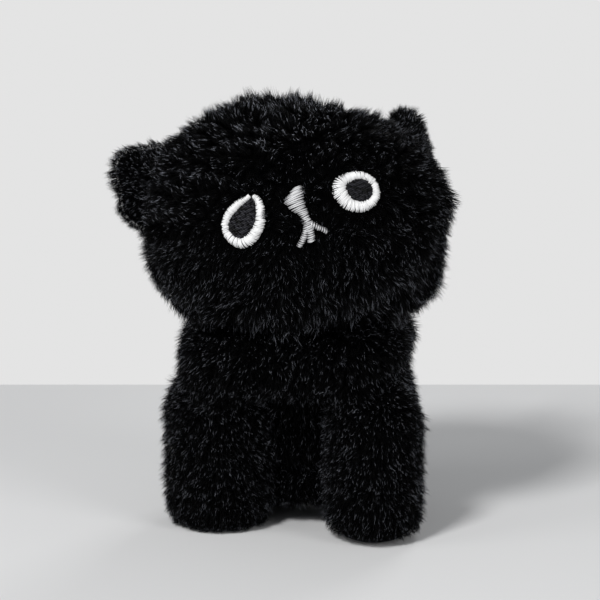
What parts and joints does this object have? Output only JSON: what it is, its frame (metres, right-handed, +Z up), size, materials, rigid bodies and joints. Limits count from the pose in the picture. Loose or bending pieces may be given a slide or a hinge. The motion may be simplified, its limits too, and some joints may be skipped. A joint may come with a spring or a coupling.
{
  "type": "plush cat",
  "caption": "Small standing plush cat in black long-pile fur, with stubby legs, floppy ears and a stitched face on a tilted head.",
  "frame": {"origin": "on the floor plane, under the middle of the whole cat's box", "axes": "+Z up, -Y the way the body faces, +X to the viewer's right of the cat"},
  "size_m": [0.0788, 0.0706, 0.0976],
  "materials": {
    "black_pile": "long soft pile, near-black with a faint cool gloss on each fibre",
    "stuffing": "polyester fibre filling",
    "stabiliser": "non-woven backing behind the stitches",
    "white_thread": "white satin stitch, soft sheen along each thread",
    "silver_thread": "silver-grey satin stitch with a brighter sheen",
    "black_thread": "black filling stitch, soft sheen",
    "seam_thread": "black sewing thread and turned-in cloth edges"
  },
  "bodies": {
    "torso": {"torso_fill": "stuffing", "torso_panel_left": "black_pile", "torso_panel_right": "black_pile", "belly_panel": "black_pile", "closing_stitches": "seam_thread"},
    "neck": {"neck_fill": "stuffing"},
    "neck_ring": {"neck_seam": "seam_thread"},
    "head": {"head_fill": "stuffing", "face_stabiliser": "stabiliser", "face_panel": "black_pile", "crown_panel": "black_pile", "head_back_panel_left": "black_pile", "head_back_panel_right": "black_pile", "eye_ring_left": "white_thread", "eye_ring_right": "white_thread", "eye_pupil_left": "black_thread", "eye_pupil_right": "black_thread", "nose_and_mouth": "silver_thread"},
    "ear_left": {"ear_left_front": "black_pile", "ear_left_back": "black_pile"},
    "ear_right": {"ear_right_front": "black_pile", "ear_right_back": "black_pile"},
    "tail": {"tail_fill": "stuffing", "tail_cover": "black_pile"},
    "leg_front_left": {"leg_fill_front_left": "stuffing", "leg_cover_front_left": "black_pile", "sole_front_left": "black_pile"},
    "leg_front_right": {"leg_fill_front_right": "stuffing", "leg_cover_front_right": "black_pile", "sole_front_right": "black_pile"},
    "leg_hind_left": {"leg_fill_hind_left": "stuffing", "leg_cover_hind_left": "black_pile", "sole_hind_left": "black_pile"},
    "leg_hind_right": {"leg_fill_hind_right": "stuffing", "leg_cover_hind_right": "black_pile", "sole_hind_right": "black_pile"}
  },
  "joints": [
    {"name": "head_turn", "type": "hinge", "parent": "torso", "child": "neck", "pos_m": [0.00582, -0.0044, 0.044], "axis": [0, 0, 1], "range_deg": [-20, 20], "stiffness_Nm_per_rad": 0.05},
    {"name": "head_nod", "type": "hinge", "parent": "neck", "child": "neck_ring", "pos_m": [0.00582, -0.0044, 0.044], "axis": [1, 0, 0], "range_deg": [-12, 12], "stiffness_Nm_per_rad": 0.08},
    {"name": "head_tilt", "type": "hinge", "parent": "neck_ring", "child": "head", "pos_m": [0.00582, -0.0044, 0.044], "axis": [0, 1, 0], "range_deg": [-12, 12], "stiffness_Nm_per_rad": 0.08},
    {"name": "ear_left_fold", "type": "hinge", "parent": "head", "child": "ear_left", "pos_m": [-0.02103, -0.00641, 0.0779], "axis": [0.3255, 0.1526, 0.9332], "range_deg": [-20, 20], "stiffness_Nm_per_rad": 0.004},
    {"name": "ear_right_fold", "type": "hinge", "parent": "head", "child": "ear_right", "pos_m": [0.02892, 0.01092, 0.08421], "axis": [-0.3639, -0.5284, 0.7671], "range_deg": [-20, 20], "stiffness_Nm_per_rad": 0.004},
    {"name": "tail_wag", "type": "hinge", "parent": "torso", "child": "tail", "pos_m": [0.00582, 0.0201, 0.029], "axis": [0, 0, 1], "range_deg": [-20, 20], "stiffness_Nm_per_rad": 0.006},
    {"name": "leg_front_left_swing", "type": "hinge", "parent": "torso", "child": "leg_front_left", "pos_m": [-0.01238, -0.0088, 0.026], "axis": [1, 0, 0], "range_deg": [-15, 3], "stiffness_Nm_per_rad": 0.15},
    {"name": "leg_front_right_swing", "type": "hinge", "parent": "torso", "child": "leg_front_right", "pos_m": [0.02402, -0.0128, 0.026], "axis": [1, 0, 0], "range_deg": [-15, 8], "stiffness_Nm_per_rad": 0.15},
    {"name": "leg_hind_left_swing", "type": "hinge", "parent": "torso", "child": "leg_hind_left", "pos_m": [-0.00718, 0.0121, 0.026], "axis": [1, 0, 0], "range_deg": [-3, 15], "stiffness_Nm_per_rad": 0.15},
    {"name": "leg_hind_right_swing", "type": "hinge", "parent": "torso", "child": "leg_hind_right", "pos_m": [0.01882, 0.0121, 0.026], "axis": [1, 0, 0], "range_deg": [-8, 15], "stiffness_Nm_per_rad": 0.15}
  ]
}
